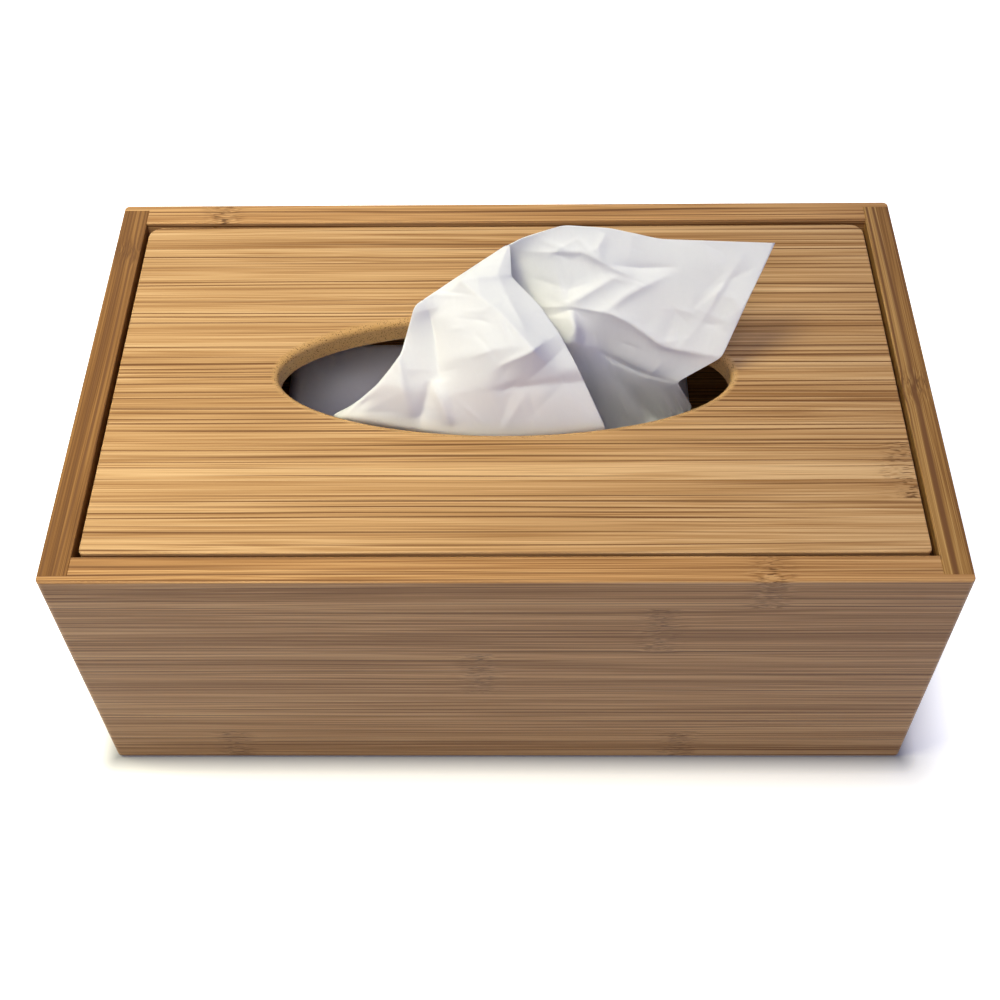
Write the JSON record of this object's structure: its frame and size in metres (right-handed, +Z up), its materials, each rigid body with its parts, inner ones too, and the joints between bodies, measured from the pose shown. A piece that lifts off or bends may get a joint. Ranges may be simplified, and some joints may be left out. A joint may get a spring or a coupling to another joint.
{
  "type": "tissue box cover",
  "caption": "Long bamboo tissue box with rabbeted corners, a loose drop-in lid with an oval hole, a stack of tissues inside and the next sheet standing in the hole.",
  "frame": {"origin": "middle of the base, on the table", "axes": "+X along the box to the right, +Y to the back, +Z up"},
  "size_m": [0.2414, 0.1396, 0.1384],
  "materials": {
    "wall_bamboo": "satin lacquer",
    "lid_bamboo": "satin lacquer",
    "bottom_bamboo": "raw, sanded",
    "tissue_paper": "soft creped paper"
  },
  "bodies": {
    "box": {"front_wall": "wall_bamboo", "back_wall": "wall_bamboo", "left_wall": "wall_bamboo", "right_wall": "wall_bamboo", "bottom_panel": "bottom_bamboo", "left_ledge": "wall_bamboo", "right_ledge": "wall_bamboo", "tissue_stack": "tissue_paper"},
    "lid": {"lid_panel": "lid_bamboo"},
    "tissue": {"tissue_sheet": "tissue_paper"}
  },
  "joints": [
    {"name": "lid_lift", "type": "slide", "parent": "box", "child": "lid", "axis": [0, 0, 1], "range_m": [0, 0.13]},
    {"name": "tissue_pull", "type": "slide", "parent": "lid", "child": "tissue", "axis": [0, 0, 1], "range_m": [0, 0.075]}
  ]
}
